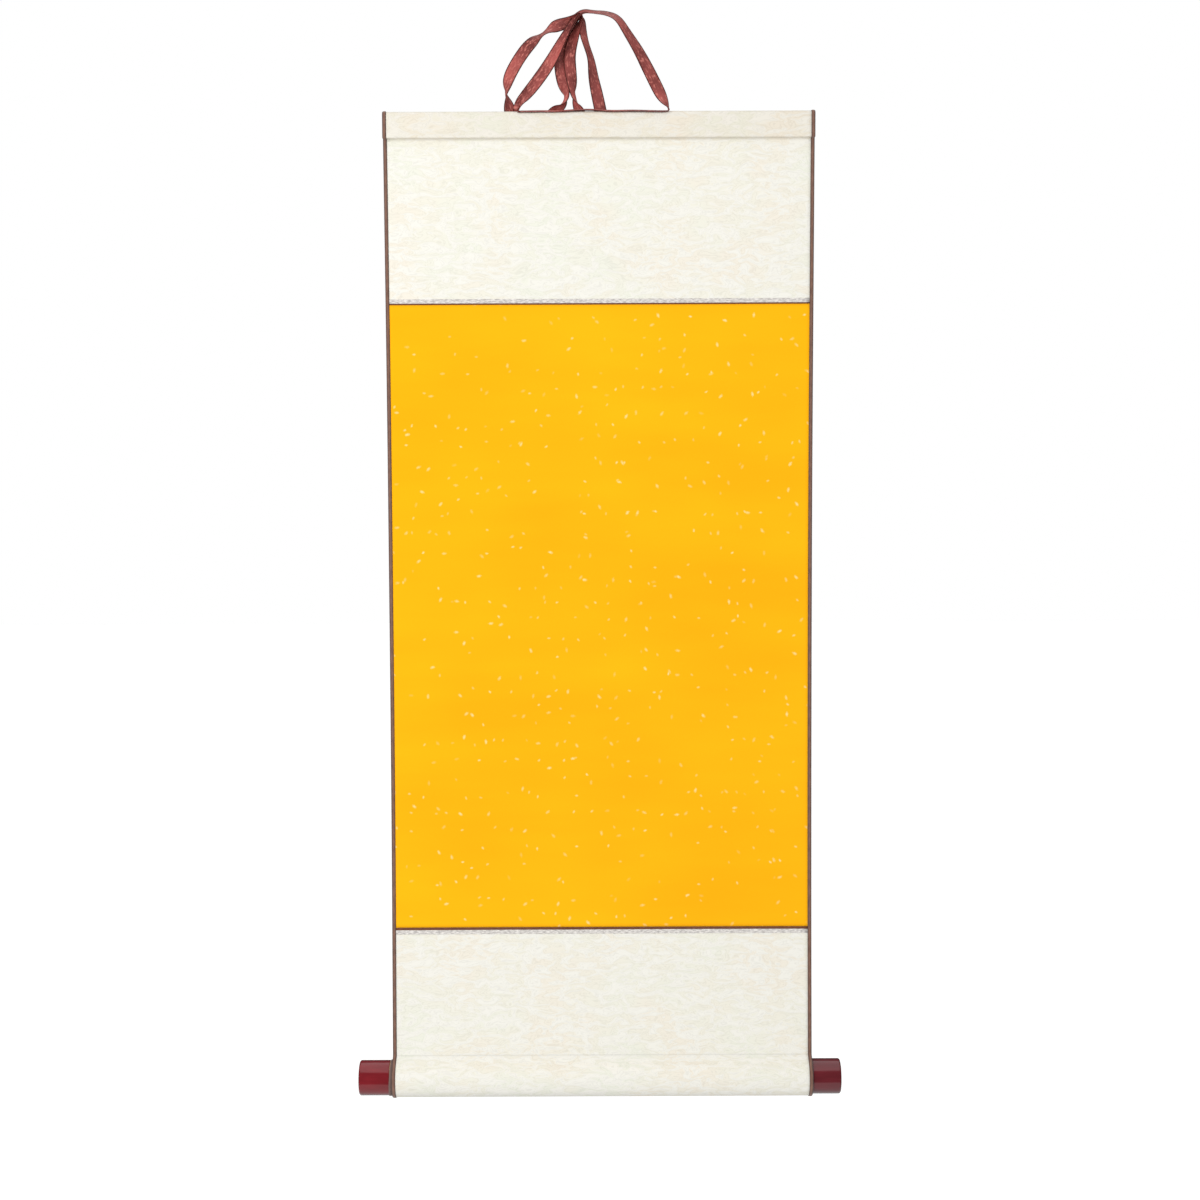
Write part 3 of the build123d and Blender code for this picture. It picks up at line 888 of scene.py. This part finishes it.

# %% [markdown]
# ## Brown edging
# The binding is a bias strip of brown cotton sateen, pressed over the edge into a soft
# rounded bead. Its colour holds painted light: a painted highlight along the bead's middle
# and painted shade beside the fold and where it meets the face. The first coordinate of
# its UV map is how far in from the edge a point lies, so the highlight and the dark lines
# of shade are drawn from that. The thin lines by the painting and the edge of the
# roller's first turn are too narrow to show a lit middle, so each is an even mix of two browns.

# %% Brown edging
# painted highlight: the binding is lightest along its middle, where its rounded bead faces the light
LIT_MIDDLE = 1.3 * MM  # how far in from the edge the binding is lightest
edging, surface = new_finish("brown_sateen_binding", IOR=1.46, Sheen_Weight=0.15)
edging_map = add_node(edging, "UVMap", {}, uv_map="UVMap")
inside = add_node(edging, "SeparateXYZ", {"Vector": edging_map}).outputs["X"]
from_middle = add_node(edging, "Math", {0: inside, 1: LIT_MIDDLE}, operation="SUBTRACT")
off_middle = add_node(edging, "Math", {0: from_middle}, operation="ABSOLUTE")
# painted highlight on the bead's middle and painted shade at its sides, from how far a point lies off the
# middle
bead_light_and_shade = add_node(
    edging, "MapRange", {"Value": off_middle, "From Min": 1.15 * MM, "From Max": 0.5 * MM}
)
rub = stretched_noise(edging, edging_map, (1 / (1.2 * MM), 1 / (6 * MM), 0), Detail=4.0)
bead_light_and_rub = add_node(edging, "Math", {0: bead_light_and_shade, 1: rub}, operation="MULTIPLY")
edging_tone = two_tone(edging, bead_light_and_rub, 0.1, 0.62, "#57403A", "#886453")
twill = add_node(
    edging, "TexWave", {"Vector": edging_map, "Scale": WAVE / (0.7 * MM), "Distortion": 0.5},
    bands_direction="DIAGONAL",
).outputs["Fac"]
edging_gloss = add_node(edging, "MapRange", {"Value": rub, "To Min": 0.7, "To Max": 0.5})
dress_surface(edging, surface, edging_tone, edging_gloss, twill, 0.4, 0.08 * MM)


# %% Brown line and the first turn's edge
def plain_brown(name, dark, light):
    """Brown sateen too narrow to show the binding's painted highlight down its middle, in a mix of two
    browns.
    """
    material, surface = new_finish(name, IOR=1.46)
    place_in = add_node(material, "TexCoord", {}).outputs["Object"]
    dye = add_node(material, "TexNoise", {"Vector": place_in, "Scale": 1 / (2.5 * MM), "Detail": 3.0})
    tone = add_node(material, "Mix", {0: dye, MIX_A: linear(dark), MIX_B: linear(light)}, data_type="RGBA")
    gloss = add_node(material, "MapRange", {"Value": dye, "To Min": 0.75, "To Max": 0.55})
    dress_surface(material, surface, tone, gloss, dye, 0.3, 0.08 * MM)
    return material


dark_line = plain_brown("brown_sateen_line", "#542E1A", "#865438")
faded_brown = plain_brown("faded_brown_sateen", "#65504A", "#86706A")

# %% [markdown]
# ## Red satin ribbon
# Satin is woven so that long threads lie side by side on its face, which gives it a
# soft stretched highlight. Cheap acetate satin also crinkles, and the crinkles break
# the highlight into small glints. Its two edges are woven tighter and look darker. The
# UV map runs along and across the ribbon: the crinkles are short across and longer
# along it, and the woven edge is the outer half millimetre or so on each side.

# %% Red satin ribbon
satin, surface = new_finish(
    "red_acetate_satin", IOR=1.47, Anisotropic=0.5, Sheen_Weight=0.2, Sheen_Roughness=0.35,
    Sheen_Tint=linear("#FFC9BE"),
)
ribbon_map = add_node(satin, "UVMap", {}, uv_map="UVMap")
crinkles = stretched_noise(
    satin, ribbon_map, (1 / (3.2 * MM), 1 / (1.4 * MM), 0), Detail=3.0, Distortion=0.6
)
long_shade = add_node(satin, "TexNoise", {"Vector": ribbon_map, "Scale": 1 / (30 * MM), "Detail": 2.0})
red = two_tone(satin, long_shade, 0.36, 0.64, "#662C2A", "#AE5650")
glint_share = add_node(
    satin, "MapRange", {"Value": crinkles, "From Min": 0.52, "From Max": 0.70, "To Max": 0.75}
)
lit_red = add_node(satin, "Mix", {0: glint_share, MIX_A: red, MIX_B: linear("#D98478")}, data_type="RGBA")
across = add_node(satin, "SeparateXYZ", {"Vector": ribbon_map}).outputs["Y"]
off_line = add_node(satin, "Math", {0: across}, operation="ABSOLUTE")
half_width = RIBBON_WIDTH / 2
selvedge = add_node(
    satin, "MapRange",
    {"Value": off_line, "From Min": half_width - 0.9 * MM, "From Max": half_width - 0.4 * MM},
)
satin_tone = add_node(
    satin, "Mix", {0: selvedge, MIX_A: lit_red, MIX_B: linear("#4A201A")}, data_type="RGBA"
)
satin_gloss = add_node(
    satin, "MapRange",
    {"Value": crinkles, "From Min": 0.3, "From Max": 0.7, "To Min": 0.5, "To Max": 0.3},
)
dress_surface(satin, surface, satin_tone, satin_gloss, crinkles, 0.6, 0.35 * MM)

# %% [markdown]
# ## Red lacquer
# The knobs are dipped in a dark wine-red lacquer. It is a hard clear gloss over a deep
# colour, so it mirrors a bright ceiling and a bright floor as two broad bands with the
# deep red between them. That takes a coat layer over a duller base. Dipping leaves a
# slow waviness round the knob that only what it mirrors gives away. The right knob's
# red is painted darker, as painted shade for the light that comes from the left.

# %% Red lacquer
DIP_WAVES = (60.0, 240.0, 240.0)  # how many to the metre, along the knob and round it
lacquer, surface = new_finish(
    "wine_red_lacquer", IOR=1.5, Specular_IOR_Level=0.1, Coat_Weight=1.0, Coat_Roughness=0.09, Coat_IOR=1.56,
)
knob_place = add_node(lacquer, "TexCoord", {}).outputs["Object"]
dips = stretched_noise(lacquer, knob_place, DIP_WAVES, Detail=3.0)
# the second red is the right knob's, darker as painted shade
left_red, shaded_right_red = [
    add_node(lacquer, "Mix", {0: dips, MIX_A: linear(deep), MIX_B: linear(clear)}, data_type="RGBA")
    for deep, clear in (("#641018", "#8C1C26"), ("#52151C", "#722029"))
]
# painted shade: the right knob, away from the lamp on the left, takes the darker red
knob_side = add_node(lacquer, "SeparateXYZ", {"Vector": knob_place}).outputs["X"]
right_shade_share = add_node(lacquer, "MapRange", {"Value": knob_side, "From Min": -0.1, "From Max": 0.1})
depth = add_node(lacquer, "Mix", {0: right_shade_share, MIX_A: left_red, MIX_B: shaded_right_red}, data_type="RGBA")
lacquer_gloss = add_node(lacquer, "MapRange", {"Value": dips, "To Min": 0.3, "To Max": 0.5})
waves = dress_surface(lacquer, surface, depth, lacquer_gloss, dips, 0.25, 0.3 * MM)
lacquer.node_tree.links.new(main_output(waves), surface.inputs["Coat Normal"])

# %% [markdown]
# ## Bare wood
# The slat and the roller are sawn pine, left bare because cloth covers them. The grain
# runs along the scroll's width, with rings 2 mm apart.

# %% Bare wood
GRAIN = (12.0, 500.0, 500.0)  # how many to the metre, along the wood and across it
wood, surface = new_finish("bare_pine", IOR=1.5, Specular_IOR_Level=0.3)
wood_place = add_node(wood, "TexCoord", {}).outputs["Object"]
grain = stretched_noise(wood, wood_place, GRAIN, Detail=4.0, Distortion=0.8)
wood_tone = add_node(
    wood, "Mix", {0: grain, MIX_A: linear("#B98E5C"), MIX_B: linear("#E6C999")}, data_type="RGBA"
)
wood_gloss = add_node(wood, "MapRange", {"Value": grain, "To Min": 0.8, "To Max": 0.6})
dress_surface(wood, surface, wood_tone, wood_gloss, grain, 0.4, 0.15 * MM)

# %% [markdown]
# ## Which piece has which finish
# Every new piece takes its finish here, in one table. The slat and the roller are the
# solid model's own, because their shapes are already right, so only their material
# slots are filled.

# %% Give the finishes out
finishes = {
    brocade: [layers["upper_brocade"], layers["lower_brocade"]],
    paper: [layers["painting_paper"]],
    lining: [layers["backing_paper"]],
    silver: [strips["upper_silver_strip"], strips["lower_silver_strip"]],
    edging: bindings,
    dark_line: [strips["upper_brown_line"], strips["lower_brown_line"]],
    faded_brown: [first_turn_edge],
    satin: [hanging_ribbon, tie_ribbon, ribbon_knot],
    lacquer: knobs,
}
for finish, pieces in finishes.items():
    for piece in pieces:
        piece.data.materials.append(finish)
for name in ("top_slat", "bottom_roller"):
    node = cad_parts[name]
    for slot in node.material_slots:
        slot.material = wood
    print(name, "slots", len(node.material_slots))

# %% [markdown]
# ## Light and floor
# Soft even light shows cloth and paper best, so nearly all of it comes from a pale room
# that glows the same all round, with a little more from the ground. Gloss wants the
# opposite, something bright beside something dark, so what the lacquer and the satin
# mirror is another sky: a bright ceiling, a bright ground and a dark front, where the
# viewer would stand. To the camera itself the room behind the scroll is plain white.
# One wide lamp on the left, a little higher than the hem, adds some direction, so that
# the ribbons and the hem have a light and a dark side.

# %% Room
# the strength of the front, and how much more the ceiling and the ground have
ROOM_GLOW = (0.77, 0.0, 0.12)
MIRRORED_GLOW = (0.08, 0.94, 0.64)
CAMERA_GLOW = 1.0
# where each band begins and where it is full, from -1 straight down to 1 straight up
CEILING_BAND = {"From Min": 0.70, "From Max": 0.80}
GROUND_BAND = {"From Min": -0.42, "From Max": -0.52}
room = bpy.data.worlds.new("pale_room")
room.use_nodes = True
bpy.context.scene.world = room
backdrop = room.node_tree.nodes["Background"]
look = add_node(room, "TexCoord", {}).outputs["Generated"]
height = add_node(room, "SeparateXYZ", {"Vector": look}).outputs["Z"]
ceiling = add_node(room, "MapRange", {"Value": height, **CEILING_BAND})
ground = add_node(room, "MapRange", {"Value": height, **GROUND_BAND})
skies = []
for front_glow, more_above, more_below in (ROOM_GLOW, MIRRORED_GLOW):
    above = add_node(room, "Math", {0: ceiling, 1: more_above, 2: front_glow}, operation="MULTIPLY_ADD")
    skies.append(add_node(room, "Math", {0: ground, 1: more_below, 2: above}, operation="MULTIPLY_ADD"))
ray = add_node(room, "LightPath", {}).outputs
lit = add_node(room, "Mix", {0: ray["Is Glossy Ray"], 2: skies[0], 3: skies[1]})
strength = add_node(room, "Mix", {0: ray["Is Camera Ray"], 2: lit, 3: CAMERA_GLOW})
room.node_tree.links.new(main_output(strength), backdrop.inputs["Strength"])
backdrop.inputs["Color"].default_value = linear("#FFFFFF")
print("room glow", ROOM_GLOW, "mirrored", MIRRORED_GLOW)

# %% Lamp
LAMP_AT = (-1.0, -1.5, 0.1)
LAMP_AIM = (sheet_middle, 0, -0.35)
lamp_data = bpy.data.lights.new("wide_lamp", "AREA")
lamp_data.shape = "DISK"
lamp_data.size = 1.1
lamp_data.energy = 18
lamp = bpy.data.objects.new("wide_lamp", lamp_data)
bpy.context.scene.collection.objects.link(lamp)
lamp.visible_glossy = False
lamp.location = LAMP_AT
lamp.rotation_euler = (Vector(LAMP_AIM) - lamp.location).to_track_quat("-Z", "Y").to_euler()
print("lamp", lamp_data.energy, "W,", round(lamp_data.size, 2), "m across")

# %% Floor
FLOOR_DROP, FLOOR_REACH = 0.6, 12
floor_mesh = bmesh.new()
bmesh.ops.create_grid(floor_mesh, x_segments=1, y_segments=1, size=FLOOR_REACH)
bmesh.ops.translate(floor_mesh, vec=(0, 0, CAD_BOX[0].z - FLOOR_DROP), verts=floor_mesh.verts)
floor_data = bpy.data.meshes.new("floor")
floor_mesh.to_mesh(floor_data)
floor_mesh.free()
floor = bpy.data.objects.new("floor", floor_data)
bpy.context.scene.collection.objects.link(floor)
floor.visible_diffuse = floor.visible_glossy = False
floor_finish, surface = new_finish(
    "pale_floor", Roughness=0.7, Base_Color=linear("#FBFBFA"),
    Emission_Color=linear("#FFFFFF"), Emission_Strength=0.35,
)
floor_data.materials.append(floor_finish)
bpy.context.scene.view_settings.view_transform = "Standard"
print("floor", FLOOR_DROP, "m under the scroll")
